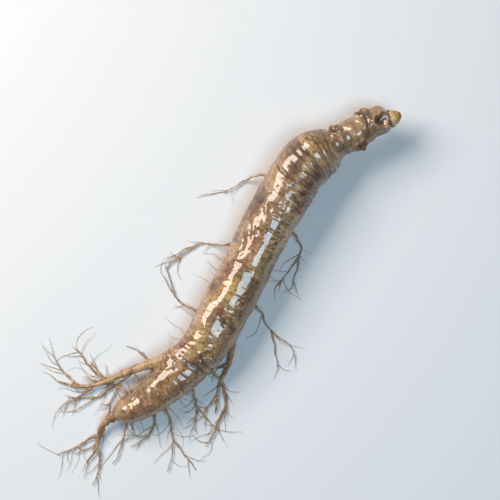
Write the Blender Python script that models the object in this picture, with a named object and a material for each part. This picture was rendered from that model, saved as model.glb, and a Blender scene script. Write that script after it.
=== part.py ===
"""American ginseng root: one grown piece, lying on its belly on a flat surface.

Metres, +Z up. +X runs from the tail towards the neck, +Y is the side where the root forks.
The origin is on the small flat of the belly, under the root's weight.
"""
import bisect
import math
import random

import bmesh
import bpy
from mathutils import Vector

MM = 0.001
ROOT_NAME = "ginseng_root"
COLLECTION_NAME = "american_ginseng_root"

# Centre line from the tail tip to the neck's end, in mm: x, y, height of the centre, radius.
STATIONS = (
    (-94.0, -2.5, 5.4, 5.2),
    (-85.0, -6.5, 6.7, 7.1),
    (-75.0, -9.5, 7.7, 8.1),
    (-63.0, -11.2, 8.3, 8.9),
    (-52.0, -11.5, 8.6, 9.2),
    (-40.0, -10.0, 9.3, 9.9),
    (-22.0, -5.5, 10.1, 10.7),
    (0.0, 0.5, 10.2, 10.8),
    (23.0, 6.7, 10.9, 11.5),
    (38.0, 10.3, 11.3, 12.0),
    (47.5, 11.0, 11.4, 12.1),
    (54.0, 9.6, 11.4, 11.5),
    (58.5, 8.2, 11.5, 9.4),
    (61.5, 7.2, 11.8, 6.9),
    (68.0, 5.2, 12.4, 6.8),
    (76.0, 2.4, 12.9, 6.4),
    (86.5, -2.0, 13.2, 5.7),
)
TAIL_ROUNDING = 7.0
NECK_ROUNDING = 4.2

# Sections aren't quite round: share of the radius, lobes round the section, turn per mm along.
SECTION_LOBES = ((0.03, 2, -0.05), (0.018, 3, 0.07))

# Mesh density of the body: sides of a section, the widest and narrowest gaps between two rows
# in mm, and the rows that close its rounded ends, in mm from the tail tip and the neck's end.
SIDES = 26
BODY_STEP = 4.2
NECK_STEP = 1.35
LEAST_STEP = 0.6
TAIL_ROWS = (0.5, 2.0, 4.2)
NECK_ROWS = (0.15, 0.9, 2.0)

# Grooves of the growth rings, wrinkles and creases, in mm: where a row of them starts and
# ends from the tail tip, the least and greatest gap between two, and their depth.
GROOVE_SEED = 5
SHOULDER_RINGS = (133.0, 158.0, 2.1, 3.1, 0.75)
BODY_WRINKLES = (14.0, 128.0, 6.0, 10.5, 0.38)
BEND_CREASES = (40.0, 47.5, 2.4, 3.6, 0.65)
NECK_RINGS = (162.5, 182.0, 2.4, 3.8, 0.42)
GROOVE_HALF_WIDTH = 0.75
GROOVE_BANK = 0.82
# Past this distance from its middle a groove has no depth left, in mm.
GROOVE_REACH = 2.7
# A groove sways along the root by this much, in mm, this many times round the section.
GROOVE_SWAY = 0.45
GROOVE_SWAYS = 3
# Where a groove fades out round the root it does so over this turn, in radians.
GROOVE_FADE = 0.22
# Grooves deeper than this, in mm, reach further round the root.
DEEP_GROOVE = 0.5
# Rings stray along the root: height in mm, waves round the section, turn per mm along, start.
RING_WAVES = ((0.9, 1, 0.045, 0.0), (0.45, 2, -0.11, 1.0))
# They stray less and less over this distance from either end, in mm.
CALM_END = 12.0

# Widths of a scar's rim and of a shallow scar's pit, as shares of its radius.
RIM_WIDTH = 0.36
PIT_WIDTH = 0.7
# Cup-shaped scars of old stems on the neck: mm from the neck's end, degrees from the top,
# radius, depth and rim height in mm.
STEM_SCARS = (
    (4.6, -4.0, 2.8, 1.9, 0.8),
    (10.8, 66.0, 2.3, 1.3, 0.8),
    (17.2, -62.0, 2.5, 1.4, 0.9),
    (24.0, 48.0, 2.0, 1.1, 0.8),
)
# Shallow scars of shed rootlets on the body, given the same way.
BODY_SCARS = (
    (67.0, 16.0, 2.4, 0.4, 0.3),
    (108.0, 57.0, 3.2, 0.8, 0.2),
    (137.0, -21.0, 2.8, 0.5, 0.7),
)
# Swellings of the neck where each year's stem stood: mm from the neck's end, degrees from
# the top, half width and height in mm.
NECK_KNUCKLES = (
    (4.0, 10.0, 3.0, 1.0),
    (10.8, 66.0, 2.6, 1.5),
    (17.2, -62.0, 2.8, 1.6),
    (24.0, 48.0, 2.6, 1.4),
)

# Broad, low swellings of the body: mm from the neck's end, degrees, spread and height in mm.
SWELLINGS = (
    (58.0, -70.0, 12.0, 0.9),
    (78.0, 80.0, 14.0, 0.8),
    (98.0, -40.0, 13.0, 0.7),
    (118.0, 95.0, 12.0, 0.6),
    (134.0, -85.0, 11.0, 0.8),
    (160.0, 60.0, 10.0, 0.6),
)

# The bud of next year's stem at the end of the neck, in mm.
BUD_CENTRE = (86.2, -3.3, 13.9)
BUD_RADIUS = 3.3
BUD_LENGTH = 4.6
BUD_TILT = math.radians(66.0)
BUD_TURN = math.radians(-24.0)
BUD_POINTEDNESS = 0.12
BUD_SEGMENTS = 14
BUD_ROWS = 9

# Thick side roots, in mm: points of the centre line, radius at the base and at the end.
LEGS = (
    (((-43.0, -8.5, 9.5), (-52.0, -5.0, 11.6), (-60.5, -1.8, 10.4), (-68.5, 2.6, 7.4),
      (-77.0, 6.8, 4.4), (-87.0, 11.0, 2.8), (-96.0, 18.0, 1.7), (-101.0, 27.0, 0.9)), 3.9, 0.7),
    (((-87.0, -5.4, 6.0), (-96.0, -2.2, 4.6), (-103.5, -2.6, 2.6), (-111.0, -7.0, 1.5),
      (-119.0, -8.0, 0.8)), 2.5, 0.5),
    (((-27.0, -9.0, 6.5), (-33.0, -18.0, 4.8), (-42.0, -24.5, 2.6), (-52.0, -28.0, 1.4),
      (-63.0, -35.5, 0.8)), 2.3, 0.5),
)
LEG_BEVEL_RESOLUTION = 2
LEG_POINTS_PER_SPAN = 3
# A root thins quickly at first and then slowly, and ends in a point.
TAPER_POWER = 0.7
POINTED_TIP = 0.3

# Rootlets on the body: mm from the neck's end, degrees from the top, length in mm.
ROOTLET_SEED = 11
ROOTLETS = (
    (57.0, 100.0, 20.0),
    (72.0, -104.0, 25.0),
    (90.0, 102.0, 27.0),
    (110.0, -106.0, 30.0),
    (122.0, 104.0, 24.0),
    (142.0, -96.0, 34.0),
    (152.0, -110.0, 24.0),
    (158.0, 114.0, 16.0),
    (166.0, -92.0, 30.0),
    (171.0, -116.0, 18.0),
    (178.0, 98.0, 24.0),
    (182.0, -66.0, 20.0),
)
# Rootlets on a side root: which one, the share of its length, the side, length in mm.
LEG_ROOTLETS = (
    (0, 0.46, 1, 24.0),
    (0, 0.60, 1, 26.0),
    (0, 0.66, -1, 18.0),
    (0, 0.78, 1, 22.0),
    (0, 0.86, -1, 16.0),
    (1, 0.42, 1, 22.0),
    (1, 0.60, -1, 20.0),
    (1, 0.78, 1, 16.0),
    (2, 0.50, -1, 22.0),
    (2, 0.66, 1, 18.0),
    (2, 0.82, -1, 14.0),
)
ROOTLET_RADIUS = 0.62
ROOTLET_TIP_RADIUS = 0.34
ROOTLET_STEP = 3.0
ROOTLET_SUNK = 2.4
# Turn from one step to the next, in radians: at random, and towards the way it drifts.
ROOTLET_WANDER = 0.24
ROOTLET_DRIFT = 0.13
ROOTLET_LEAN = (-0.3, 0.0, 0.25)
ROOTLET_FORWARD_SHARE = 0.8
# It comes down to the surface over this many times its height, and over these steps or more.
FALL_RUN = 1.1
FALL_STEPS = 2.5
LEAST_STEPS = 4
ROOTLET_BEVEL_RESOLUTION = 1
# A rootlet longer than this has a thinner one branching off, both in mm.
BRANCHING_LENGTH = 23.0
BRANCH_RADIUS = 0.42
BRANCH_SHARE = 0.45
BRANCH_SPREAD = 0.55
BRANCH_FALL_STEPS = 3.0
FLOOR_GAP = 0.12
WELD_DISTANCE = 0.02

SKIN_COLOUR = (0.30, 0.19, 0.10, 1.0)
SKIN_ROUGHNESS = 0.5
SHARP_ANGLE = math.radians(50.0)


def station_knots():
    """Distance along the centre line at each station, in mm."""
    knots = [0.0]
    for here, there in zip(STATIONS, STATIONS[1:]):
        knots.append(knots[-1] + math.dist(here[:3], there[:3]))
    return knots


KNOTS = station_knots()
LENGTH = KNOTS[-1]


def smooth_value(knots, values, at):
    """Value at a distance on the smooth curve through the values at the knots."""
    last = len(knots) - 1
    i = min(max(bisect.bisect_right(knots, at) - 1, 0), last - 1)

    def slope(k):
        low, high = max(k - 1, 0), min(k + 1, last)
        return (values[high] - values[low]) / (knots[high] - knots[low])

    span = knots[i + 1] - knots[i]
    t = (at - knots[i]) / span
    return (
        values[i] * (1 + 2 * t) * (1 - t) ** 2
        + slope(i) * span * t * (1 - t) ** 2
        + values[i + 1] * t * t * (3 - 2 * t)
        + slope(i + 1) * span * t * t * (t - 1)
    )


def centre(along):
    """Point of the centre line, in mm."""
    return Vector([smooth_value(KNOTS, [s[k] for s in STATIONS], along) for k in range(3)])


def section_axes(along):
    """The root's own direction, its side towards +Y and its upper side, at a point along it."""
    forward = (centre(along + 0.5) - centre(along - 0.5)).normalized()
    side = Vector((0.0, 0.0, 1.0)).cross(forward).normalized()
    return forward, side, forward.cross(side)


def end_rounding(along):
    """Share of the radius that is left as each end rounds off."""
    share = 1.0
    for distance, rounding in ((along, TAIL_ROUNDING), (LENGTH - along, NECK_ROUNDING)):
        if distance < rounding:
            share *= math.sqrt(max(0.0, 1.0 - (1.0 - distance / rounding) ** 2))
    return share


def bell(distance, half_width):
    """A smooth hump of height 1 that falls away past its half width."""
    return math.exp(-((distance / half_width) ** 2))


def angle_between(a, b):
    """Smallest turn from one angle to another, in radians."""
    return abs((a - b + math.pi) % math.tau - math.pi)


def draw_grooves():
    """Each groove's place, depth, the side it is deepest on and how far round it reaches."""
    rng = random.Random(GROOVE_SEED)
    grooves = []
    for first, last, gap_low, gap_high, depth in (BODY_WRINKLES, BEND_CREASES, SHOULDER_RINGS, NECK_RINGS):
        at = first
        while at < last:
            reach = rng.uniform(0.9, 2.2) if depth > DEEP_GROOVE else rng.uniform(0.6, 1.5)
            grooves.append((at, depth * rng.uniform(0.75, 1.2), rng.uniform(-1.7, 1.2), reach))
            at += rng.uniform(gap_low, gap_high)
    return sorted(grooves)


GROOVES = draw_grooves()


def ring_wave(along, angle):
    """How far a ring strays along the root at this angle, in mm."""
    return sum(
        height * math.sin(waves * angle + turn * along + start) for height, waves, turn, start in RING_WAVES
    )


def groove_relief(ring, angle):
    """Depth of the grooves at a place named by its ring and angle, in mm."""
    relief = 0.0
    for at, depth, side, reach in GROOVES:
        distance = ring - at - GROOVE_SWAY * math.sin(GROOVE_SWAYS * angle + at)
        if abs(distance) < GROOVE_REACH:
            fade = 1.0 / (1.0 + math.exp((angle_between(angle, side) - reach) / GROOVE_FADE))
            relief -= depth * fade * bell(distance, GROOVE_HALF_WIDTH)
    return relief


def scar_relief(along, angle, radius):
    """Raised rims of the scars and the shallow pits of those on the body, in mm."""
    relief = 0.0
    for from_neck, degrees, size, depth, rim in STEM_SCARS + BODY_SCARS:
        across = radius * angle_between(angle, math.radians(degrees))
        reach = math.hypot(along - (LENGTH - from_neck), across) / size
        relief += rim * bell(reach - 1.0, RIM_WIDTH)
        if (from_neck, degrees, size, depth, rim) in BODY_SCARS:
            relief -= depth * bell(reach, PIT_WIDTH)
    return relief


def swelling_relief(along, angle, radius):
    """Knuckles of the neck and broad swellings of the body, in mm."""
    relief = 0.0
    for from_neck, degrees, width, height in NECK_KNUCKLES:
        lean = 0.5 + 0.5 * math.cos(angle - math.radians(degrees))
        relief += height * lean * bell(along - (LENGTH - from_neck), width)
    for from_neck, degrees, spread, height in SWELLINGS:
        across = radius * angle_between(angle, math.radians(degrees))
        relief += height * bell(math.hypot(along - (LENGTH - from_neck), across), spread)
    return relief


def skin_radius(ring, along, angle):
    """Distance from the centre line to the skin, in mm."""
    radius = smooth_value(KNOTS, [s[3] for s in STATIONS], along)
    oval = 1.0 + sum(share * math.cos(lobes * angle + turn * along) for share, lobes, turn in SECTION_LOBES)
    relief = groove_relief(ring, angle)
    relief += scar_relief(along, angle, radius)
    relief += swelling_relief(along, angle, radius)
    return (radius * oval + relief) * end_rounding(along)


def skin_point(ring, angle):
    """Point of the skin, in mm, flattened where the belly meets the surface under it."""
    sway = min(1.0, ring / CALM_END, (LENGTH - ring) / CALM_END)
    along = ring + sway * ring_wave(ring, angle)
    _, side, up = section_axes(along)
    radius = skin_radius(ring, along, angle)
    point = centre(along) + radius * (math.cos(angle) * up + math.sin(angle) * side)
    point.z = max(point.z, 0.0)
    return point


def row_places():
    """Places of the body's rows: one in each groove, one on each bank, and more between."""
    marks = {*TAIL_ROWS, *(LENGTH - row for row in NECK_ROWS)}
    for at, *_ in GROOVES:
        marks.update((at - GROOVE_BANK, at, at + GROOVE_BANK))
    rows = [min(marks)]
    for mark in sorted(marks)[1:]:
        step = NECK_STEP if mark > SHOULDER_RINGS[1] else BODY_STEP
        gap = mark - rows[-1]
        if gap < LEAST_STEP:
            continue
        parts = math.ceil(gap / step)
        start = rows[-1]
        rows.extend(start + gap * k / parts for k in range(1, parts + 1))
    return rows


def build_body():
    """The root's body and neck as one closed loft through unlike sections."""
    body = bmesh.new()
    rings = []
    for ring in row_places():
        angles = (math.tau * k / SIDES for k in range(SIDES))
        rings.append([body.verts.new(skin_point(ring, angle) * MM) for angle in angles])
    for lower, upper in zip(rings, rings[1:]):
        for k in range(SIDES):
            j = (k + 1) % SIDES
            body.faces.new((lower[k], lower[j], upper[j], upper[k]))
    for end, tip in ((rings[0], centre(0.0)), (rings[-1], centre(LENGTH))):
        point = body.verts.new(tip * MM)
        for k in range(SIDES):
            body.faces.new((end[k], point, end[(k + 1) % SIDES]))
    bmesh.ops.triangulate(body, faces=body.faces)
    bmesh.ops.recalc_face_normals(body, faces=body.faces)
    mesh = bpy.data.meshes.new(ROOT_NAME)
    body.to_mesh(mesh)
    body.free()
    return mesh


def smooth_path(points, per_span):
    """Points on the smooth curve through the given ones, in mm."""
    knots = [0.0]
    for here, there in zip(points, points[1:]):
        knots.append(knots[-1] + math.dist(here, there))
    count = per_span * (len(points) - 1)
    places = [knots[-1] * k / count for k in range(count + 1)]
    axes = list(zip(*points))
    return [Vector([smooth_value(knots, values, at) for values in axes]) for at in places]


def tapered_tube(name, path, base_radius, tip_radius, resolution):
    """A closed tube along a path in mm, thinner towards its end, as a mesh object."""
    curve = bpy.data.curves.new(name, "CURVE")
    curve.dimensions = "3D"
    curve.bevel_depth = MM
    curve.bevel_resolution = resolution
    curve.use_fill_caps = True
    spline = curve.splines.new("POLY")
    spline.points.add(len(path) - 1)
    for k, (target, point) in enumerate(zip(spline.points, path)):
        share = k / (len(path) - 1)
        target.co = (*(point * MM), 1.0)
        target.radius = base_radius + (tip_radius - base_radius) * share ** TAPER_POWER
    spline.points[-1].radius *= POINTED_TIP
    guide = bpy.data.objects.new(name, curve)
    bpy.context.scene.collection.objects.link(guide)
    depsgraph = bpy.context.evaluated_depsgraph_get()
    mesh = bpy.data.meshes.new_from_object(guide.evaluated_get(depsgraph))
    bpy.data.objects.remove(guide)
    welded = bmesh.new()
    welded.from_mesh(mesh)
    bmesh.ops.remove_doubles(welded, verts=welded.verts, dist=WELD_DISTANCE * MM)
    bmesh.ops.recalc_face_normals(welded, faces=welded.faces)
    welded.to_mesh(mesh)
    welded.free()
    return bpy.data.objects.new(name, mesh)


def rootlet_path(start, heading, length, drift, rng):
    """Path of a rootlet in mm: out of the skin, down to the surface in one curve, then along it."""
    path = [start - heading * ROOTLET_SUNK, start]
    rest = ROOTLET_RADIUS + FLOOR_GAP
    fall = max(FALL_STEPS * ROOTLET_STEP, FALL_RUN * start.z)
    course = math.atan2(heading.y, heading.x)
    turn = 0.0
    place = start.copy()
    for k in range(1, max(LEAST_STEPS, round(length / ROOTLET_STEP)) + 1):
        turn = 0.5 * turn + rng.uniform(-1.0, 1.0) * ROOTLET_WANDER
        course += turn + ROOTLET_DRIFT * math.sin(drift - course)
        place = place + ROOTLET_STEP * Vector((math.cos(course), math.sin(course), 0.0))
        share = min(1.0, k * ROOTLET_STEP / fall)
        place.z = rest + (start.z - rest) * (1.0 - share) ** 2 * (1.0 + 2.0 * share)
        path.append(place)
    return path


def branch_path(stem, rng):
    """Path in mm of a branch that leaves a rootlet half way along it."""
    middle = len(stem) // 2
    fork = stem[middle]
    forward = (fork - stem[middle - 1]).normalized()
    away = Vector((-forward.y, forward.x, 0.0)) * rng.choice((-1.0, 1.0))
    rest = BRANCH_RADIUS + FLOOR_GAP
    path = []
    for k in range(1 + round(BRANCH_SHARE * len(stem))):
        point = fork + ROOTLET_STEP * k * (forward + BRANCH_SPREAD * away)
        point.z = rest + (fork.z - rest) * max(0.0, 1.0 - k / BRANCH_FALL_STEPS)
        path.append(point)
    return path


def body_rootlet_starts():
    """Where each rootlet of the body leaves the skin, its heading, length and the way it drifts."""
    starts = []
    for from_neck, degrees, length in ROOTLETS:
        ring = LENGTH - from_neck
        angle = math.radians(degrees)
        _, side, up = section_axes(ring)
        heading = math.cos(angle) * up + math.sin(angle) * side + Vector(ROOTLET_LEAN)
        starts.append((skin_point(ring, angle), heading.normalized(), length, math.pi))
    return starts


def leg_rootlet_starts(leg_paths):
    """The same for each rootlet of a side root."""
    starts = []
    for leg, share, turn, length in LEG_ROOTLETS:
        path = leg_paths[leg]
        k = round(share * (len(path) - 1))
        forward = (path[k] - path[k - 1]).normalized()
        heading = Vector((0.0, 0.0, 1.0)).cross(forward) * turn + ROOTLET_FORWARD_SHARE * forward
        starts.append((path[k], heading.normalized(), length, math.atan2(forward.y, forward.x)))
    return starts


def build_legs(paths):
    """The thick side roots."""
    return [
        tapered_tube(f"leg_{k}", path, base_radius, tip_radius, LEG_BEVEL_RESOLUTION)
        for k, (path, (_, base_radius, tip_radius)) in enumerate(zip(paths, LEGS))
    ]


def build_rootlets(starts):
    """The rootlets, and a thinner branch on each long one."""
    rng = random.Random(ROOTLET_SEED)
    rootlets = []
    for k, (start, heading, length, drift) in enumerate(starts):
        path = rootlet_path(start, heading, length * rng.uniform(0.9, 1.15), drift, rng)
        rootlets.append(
            tapered_tube(f"rootlet_{k}", path, ROOTLET_RADIUS, ROOTLET_TIP_RADIUS, ROOTLET_BEVEL_RESOLUTION)
        )
        if length > BRANCHING_LENGTH:
            path = branch_path(path, rng)
            rootlets.append(tapered_tube(f"branch_{k}", path, BRANCH_RADIUS, ROOTLET_TIP_RADIUS, 0))
    return rootlets


def build_bud():
    """The pointed bud at the end of the neck."""
    shape = bmesh.new()
    bmesh.ops.create_uvsphere(shape, u_segments=BUD_SEGMENTS, v_segments=BUD_ROWS, radius=1.0)
    for vert in shape.verts:
        width = BUD_RADIUS * (1.0 - BUD_POINTEDNESS * max(0.0, vert.co.z))
        vert.co = Vector((vert.co.x * width, vert.co.y * width, vert.co.z * BUD_LENGTH)) * MM
    mesh = bpy.data.meshes.new("bud")
    shape.to_mesh(mesh)
    shape.free()
    bud = bpy.data.objects.new("bud", mesh)
    bud.location = Vector(BUD_CENTRE) * MM
    bud.rotation_euler = (0.0, BUD_TILT, BUD_TURN)
    return bud


def stem_cup_cutters():
    """A ball for each stem scar, which hollows its cup into the neck."""
    cutters = []
    for k, (from_neck, degrees, size, depth, rim) in enumerate(STEM_SCARS):
        ring = LENGTH - from_neck
        angle = math.radians(degrees)
        _, side, up = section_axes(ring)
        outward = math.cos(angle) * up + math.sin(angle) * side
        ball_radius = (size * size + depth * depth) / (2.0 * depth)
        shape = bmesh.new()
        bmesh.ops.create_icosphere(shape, subdivisions=2, radius=ball_radius * MM)
        mesh = bpy.data.meshes.new(f"cup_{k}")
        shape.to_mesh(mesh)
        shape.free()
        cutter = bpy.data.objects.new(f"cup_{k}", mesh)
        cutter.location = (skin_point(ring, angle) + outward * (rim + ball_radius - depth)) * MM
        cutter.hide_render = True
        cutter.display_type = "WIRE"
        cutters.append(cutter)
    return cutters


def combine(root, others, operation):
    """Joins the others to the root, or cuts them out of it, in one Boolean, and removes them."""
    group = bpy.data.collections.new("others")
    bpy.context.scene.collection.children.link(group)
    for other in others:
        group.objects.link(other)
    boolean = root.modifiers.new(operation, "BOOLEAN")
    boolean.operation = operation
    boolean.operand_type = "COLLECTION"
    boolean.collection = group
    depsgraph = bpy.context.evaluated_depsgraph_get()
    root.data = bpy.data.meshes.new_from_object(root.evaluated_get(depsgraph))
    root.modifiers.clear()
    for other in others:
        bpy.data.objects.remove(other)
    bpy.data.collections.remove(group)


def skin_material():
    """Brown root skin."""
    material = bpy.data.materials.new("root_skin")
    material.use_nodes = True
    surface = material.node_tree.nodes["Principled BSDF"]
    surface.inputs["Base Color"].default_value = SKIN_COLOUR
    surface.inputs["Roughness"].default_value = SKIN_ROUGHNESS
    return material


def main():
    for thing in list(bpy.data.objects):
        bpy.data.objects.remove(thing)
    parts = bpy.data.collections.new(COLLECTION_NAME)
    bpy.context.scene.collection.children.link(parts)
    root = bpy.data.objects.new(ROOT_NAME, build_body())
    parts.objects.link(root)
    leg_paths = [smooth_path(points, LEG_POINTS_PER_SPAN) for points, _, _ in LEGS]
    starts = body_rootlet_starts() + leg_rootlet_starts(leg_paths)
    combine(root, build_legs(leg_paths) + build_rootlets(starts) + [build_bud()], "UNION")
    combine(root, stem_cup_cutters(), "DIFFERENCE")
    root.data.materials.clear()
    root.data.materials.append(skin_material())
    root.data.shade_smooth()
    root.data.set_sharp_from_angle(angle=SHARP_ANGLE)


main()
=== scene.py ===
"""Looks of a fresh american ginseng root: its skin, side roots, rootlets, hairs and bud.

In the frame of the solid root that these pieces stand for, +Z up. The root's lengths are in mm
and become metres as a mesh is made. A place on it is given from the neck's end, and degrees
from its top. The camera, the lights and the floor are in metres.
"""
import math
import random
from collections import namedtuple

import bpy
import numpy as np
from mathutils import Euler, Matrix, Vector


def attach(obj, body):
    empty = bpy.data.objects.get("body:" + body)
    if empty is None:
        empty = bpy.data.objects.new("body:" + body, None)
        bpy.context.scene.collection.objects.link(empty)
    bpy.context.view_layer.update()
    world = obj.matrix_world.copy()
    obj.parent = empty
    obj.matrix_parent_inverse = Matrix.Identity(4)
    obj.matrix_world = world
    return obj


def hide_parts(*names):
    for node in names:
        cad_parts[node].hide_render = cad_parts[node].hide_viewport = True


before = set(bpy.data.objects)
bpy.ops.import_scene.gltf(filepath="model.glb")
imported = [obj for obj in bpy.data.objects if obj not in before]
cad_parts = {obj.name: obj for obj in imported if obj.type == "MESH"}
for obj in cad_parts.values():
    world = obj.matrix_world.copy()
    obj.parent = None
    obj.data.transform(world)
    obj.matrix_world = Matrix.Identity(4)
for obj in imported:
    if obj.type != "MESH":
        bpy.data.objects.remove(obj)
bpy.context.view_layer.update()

MM = 0.001
NODE = "ginseng_root"
UP = np.array((0.0, 0.0, 1.0))
FAR_AWAY = 100.0

# Centre line from the tail tip to the neck's end: x, y, height of the centre, radius.
STATIONS = np.array((
    (-94, -2.5, 5.4, 5.2),
    (-85, -6.5, 6.7, 7.1),
    (-75, -9.5, 7.7, 8.1),
    (-63, -11.2, 8.3, 8.9),
    (-52, -11.5, 8.6, 9.2),
    (-40, -10, 9.3, 9.9),
    (-22, -5.5, 10.1, 10.7),
    (0, 0.5, 10.2, 10.8),
    (23, 6.7, 10.9, 11.5),
    (38, 10.3, 11.3, 12),
    (47.5, 11, 11.4, 12.1),
    (54, 9.6, 11.4, 11.5),
    (58.5, 8.2, 11.5, 9.4),
    (61.5, 7.2, 11.8, 6.9),
    (68, 5.2, 12.4, 6.8),
    (76, 2.4, 12.9, 6.4),
    (86.5, -2, 13.2, 5.7),
))
TAIL_ROUNDING = 7
NECK_ROUNDING = 4.2
# Half of the stretch of centre line that gives its direction.
AXIS_STEP = 0.5
# Place of the neck's foot from the tail tip, and how gently the neck's looks begin.
NECK_FOOT = 160.5
NECK_BLEND = 0.8
# Sections aren't quite round: share of the radius, lobes, turn per mm along.
SECTION_LOBES = ((0.03, 2, -0.05), (0.018, 3, 0.07))

# Rows of grooves: start and end from the tail tip, least and greatest gap, depth, least and
# greatest reach round the root from a groove's deepest side, in radians.
GROOVE_SEED = 5
BODY_WRINKLES = (14, 128, 6, 10.5, 0.10, 0.6, 1.5)
BEND_CREASES = (40, 47.5, 2.4, 3.6, 0.65, 0.9, 2.2)
SHOULDER_RINGS = (133, 158, 2.1, 3.1, 0.6, 0.9, 2.2)
NECK_RINGS = (162.5, 182, 2.4, 3.8, 0.42, 0.6, 1.5)
GROOVE_HALF_WIDTH = 0.75
GROOVE_FADE = 0.22
CREASE_POWER = 1.4
# A groove's share of its row's depth and its deepest side. Then a fine groove's share and reach.
GROOVE_DEPTHS = (0.75, 1.2)
GROOVE_SIDES = (-1.7, 1.2)
FINE_DEPTHS = (0.5, 1.3)
FINE_REACH = (0.3, 1.6)
# A groove sways along the root by this much, so many times round it.
GROOVE_SWAY = 0.45
GROOVE_SWAYS = 3
# Rings stray along the root: height, waves round it, turn per mm along, start.
RING_WAVES = ((0.9, 1, 0.045, 0), (0.45, 2, -0.11, 1))
CALM_END = 12
# Painted shade and soil darken the grooves over a share of their width, and the hollows of the fine relief
# this strongly.
SHADED_GROOVE_WIDTH = 0.55
HOLLOW_SHADE = 1.5

# Scars of old stems on the neck and of shed rootlets on the body: place, degrees, radius,
# depth, rim height.
STEM_SCARS = (
    (4.6, -4, 2.8, 1.9, 0.8),
    (10.8, 66, 2.3, 1.3, 0.8),
    (17.2, -62, 2.5, 1.4, 0.9),
    (24, 48, 2, 1.1, 0.8),
)
BODY_SCARS = (
    (67, 16, 2.4, 0.15, 0.08),
    (108, 57, 3.2, 0.8, 0.2),
    (137, -21, 2.8, 0.5, 0.6),
)
# Widths of a scar's rim and pit, as shares of its radius.
RIM_WIDTH = 0.36
PIT_WIDTH = 0.7
# The scar's outline and rim are uneven: share, waves round it.
SCAR_UNEVENNESS = ((0.11, 2), (0.07, 3), (0.045, 5))
RIM_UNEVENNESS = ((0.30, 3), (0.22, 5), (0.16, 8))
# Fibres in a stem scar's cup, their height and their turn on the way out.
SCAR_FIBRES = 17
FIBRE_HEIGHT = 0.05
FIBRE_TURN = 4
# A cup is part of a ball, up to a share of its radius. How far it blends into the skin, and
# the share of the fine relief that it keeps.
BALL_SHARE = 0.98
CUP_BLEND = 0.3
CUP_RELIEF = 0.5
# A cup's dark floor, its rim and a body scar's outline: reach and power of the first, place
# and width of the others, in shares of the scar's radius.
CUP_FLOOR = (0.86, 6)
CUP_RIM = (1.12, 0.28)
SCAR_OUTLINE = (0.85, 0.2)
# Swellings of the neck and of the body: place, degrees, spread, height.
NECK_KNUCKLES = (
    (4, 10, 3, 1),
    (10.8, 66, 2.9, 1.4),
    (17.2, -62, 3.1, 1.5),
    (24, 48, 2.9, 1.3),
)
SWELLINGS = (
    (58, -70, 12, 0.9),
    (78, 80, 14, 0.8),
    (98, -40, 13, 0.7),
    (118, 95, 12, 0.6),
    (134, -85, 11, 0.8),
    (160, 60, 10, 0.6),
)

# The skin's mesh, with its rows closer together on the neck.
SKIN_ROWS = 514
SKIN_SIDES = 190
NECK_CROWDING = 0.75
SAMPLES_PER_ROW = 40

# Shallow flats: place, degrees, half length, half width, depth.
FLATS = (
    (176, 33, 12, 5.5, 0.75),
    (110, 36, 7, 6, 0.75),
    (150, 22, 7, 4.5, 0.35),
    (97, -9, 13, 4, 0.30),
    (123, -12, 6, 3, 0.18),
)

# Ripples of the skin: height, shortest and longest wave, waves round the root for each along.
FINE_SEED = 21
RIPPLES = ((0.14, 8, 18, 0.8), (0.036, 3, 7, 0.7), (0.006, 0.9, 2, 0.4))
NECK_RIPPLES = ((0.10, 2.2, 5, 0.45), (0.012, 0.8, 1.6, 0.9))
RIPPLE_COUNT = 42
# Where the skin is wrinkled in all directions: place, degrees, half length, half width. Then
# those wrinkles, given as ripples are.
WRINKLED_PATCHES = (
    (78, 36, 15, 6.5),
    (59, -13, 12, 7),
    (151, 26, 8, 6.5),
    (119, -16, 6, 5),
)
WRINKLES = (0.14, 2.2, 4.8, 0.9)
# Fine rings: where they start and end, least and greatest gap, depth, half width.
FINE_RINGS = (
    (6, 130, 1.2, 4.8, 0.04, 0.36),
    (126, 160, 0.8, 2, 0.16, 0.42),
    (36, 52, 0.7, 1.6, 0.22, 0.42),
    (160, 186, 0.7, 1.7, 0.20, 0.32),
    (112, 141, 1.5, 3.8, 0.26, 0.55),
)

# Raised spots: how many, how far they keep from the tail tip and the neck's end, half
# length, half width, height. Then shares: depth and width of their pit, width of their mark.
SPOT_SEED = 1530
Spots = namedtuple("Spots", "count from_tail from_neck long wide height pit pit_width mark_width")
# Lenticels are short bars across the root, with a slit.
LENTICELS = Spots(110, 6, 34, (0.3, 0.5), (0.9, 2.8), 0.14, 1.25, 0.42, 1)
# Stubs of broken rootlets are round, and their height is a share of their radius.
STUBS = Spots(34, 5, 30, (0.45, 1), None, 0.42, 1, 0.45, 0.65)
# A spot's relief is worked out this many half lengths out from its middle.
SPOT_EDGE = 3

# Patches of colour: place, degrees, half length, half width.
RUST_PATCHES = (
    (82.4, 21, 2.6, 4),
    (94.9, 17, 3.2, 3.5),
    (100.1, 30, 4, 2.6),
    (117.6, 6, 2.8, 5.5),
    (27.5, 41, 1.5, 2),
    (4, 70, 3, 3.5),
    (140, 60, 5, 5),
    (60, -60, 5, 6),
    (150, -70, 6, 4),
    (158, 25, 5, 3),
    (115, 150, 9, 8),
    (70, -140, 9, 9),
)
OCHRE_PATCHES = (
    (131.8, 4, 8, 5.5),
    (37.4, 22, 4, 5.5),
    (67, 16, 1.2, 1.8),
    (90, -30, 5, 3.5),
    (109, 8, 7, 5),
    (160, 20, 7, 5),
    (75, 160, 12, 8),
    (170, 150, 9, 8),
)
# Umber patches are mostly the skin's own darker colour; the one at 157 mm and 52 degrees is painted shade.
UMBER_AND_SHADE_PATCHES = (
    (165, -12, 15, 6.5),
    (157, 52, 10, 6),
    (145, 62, 6, 4),
    (128, -40, 7, 4),
    (104, -28, 7, 3.5),
    (74, -2, 11, 5),
    (61, 11, 9, 5),
    (121, 8, 7, 4.5),
    (90, 9, 5, 2.5),
    (66, 58, 9, 4),
    (52, -52, 8, 6),
    (45, 40, 3.5, 4),
    (95, 175, 18, 8),
    (150, 170, 12, 8),
)

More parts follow.
